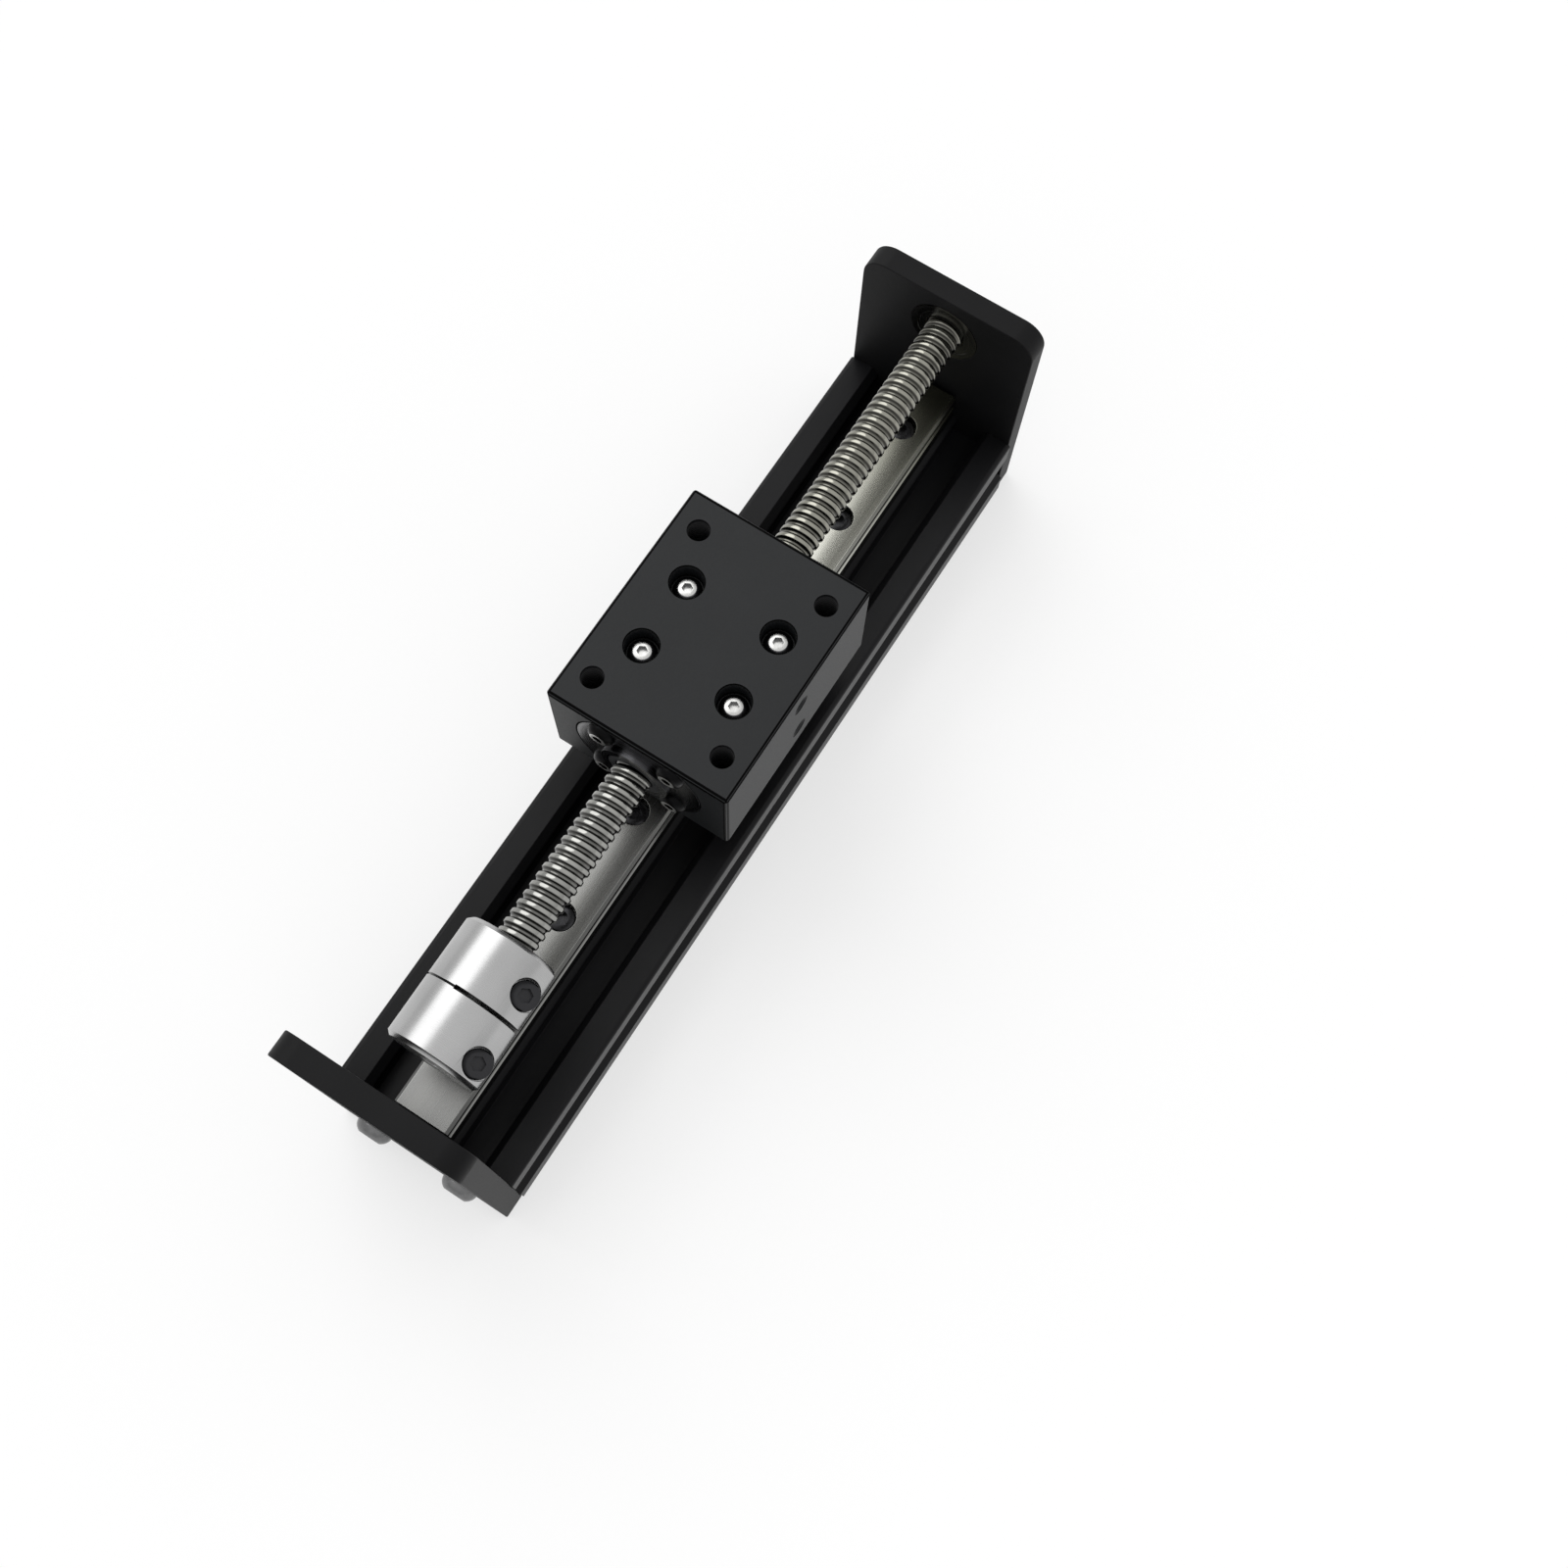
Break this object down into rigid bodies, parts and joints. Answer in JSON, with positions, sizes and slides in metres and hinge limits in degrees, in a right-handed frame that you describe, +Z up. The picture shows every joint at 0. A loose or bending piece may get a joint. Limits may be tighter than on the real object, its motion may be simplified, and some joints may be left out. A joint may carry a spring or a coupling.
{
  "type": "ball screw linear module",
  "caption": "Slotted base with a ball guide rail, a coupled ball screw in an end bearing, and a tapped carriage that travels along it.",
  "frame": {"origin": "centre of the base extrusion's underside", "axes": "+X along the travel from the motor end to the bearing end, +Z up through the carriage's top face, -Y the side with the coupling's clamp screws and the carriage's two side holes"},
  "size_m": [0.198, 0.04, 0.0675],
  "materials": {
    "anodised_base": "black anodised, satin, drawn along its length",
    "anodised_plate": "black anodised, matt",
    "anodised_carriage": "black anodised, matt, milled",
    "rail_steel": "ground and polished",
    "screw_steel": "rolled, bright",
    "bearing_steel": "ground",
    "ball_steel": "polished",
    "nut_steel": "blackened, ground hub",
    "coupling_aluminium": "turned, clear anodised",
    "bright_screws": "nickel plated",
    "blackened_screws": "black oxide",
    "cap_plastic": "moulded",
    "seal_rubber": "moulded",
    "cage_brass": "pressed"
  },
  "bodies": {
    "base": {"base_extrusion": "anodised_base", "guide_rail": "rail_steel", "rail_screws": "blackened_screws", "motor_plate": "anodised_plate", "motor_plate_screws": "bright_screws", "bearing_plate": "anodised_plate", "bearing_plate_screws": "bright_screws", "bearing_outer_ring": "bearing_steel", "bearing_shields": "bearing_steel", "bearing_cage": "cage_brass", "bearing_balls": "ball_steel"},
    "screw": {"ball_screw": "screw_steel", "bearing_inner_ring": "bearing_steel", "retaining_ring": "blackened_screws", "coupling": "coupling_aluminium", "coupling_screws": "blackened_screws"},
    "carriage": {"carriage": "anodised_carriage", "carriage_screws": "bright_screws", "guide_block": "rail_steel", "guide_block_end_caps": "cap_plastic", "guide_block_end_seals": "seal_rubber", "guide_block_cap_screws": "bright_screws", "guide_block_balls": "ball_steel", "ball_nut": "nut_steel", "ball_nut_screws": "bright_screws", "ball_nut_wipers": "seal_rubber", "ball_nut_return_buttons": "nut_steel"}
  },
  "joints": [
    {"name": "screw_spin", "type": "hinge", "parent": "base", "child": "screw", "pos_m": [0, 0, 0.0465], "axis": [1, 0, 0], "range_deg": [-10080, 6120]},
    {"name": "carriage_slide", "type": "slide", "parent": "base", "child": "carriage", "axis": [1, 0, 0], "range_m": [-0.034, 0.056]}
  ],
  "couplings": [
    {"joint": "screw_spin", "follows": "carriage_slide", "rad_per_m": -3141.6}
  ]
}
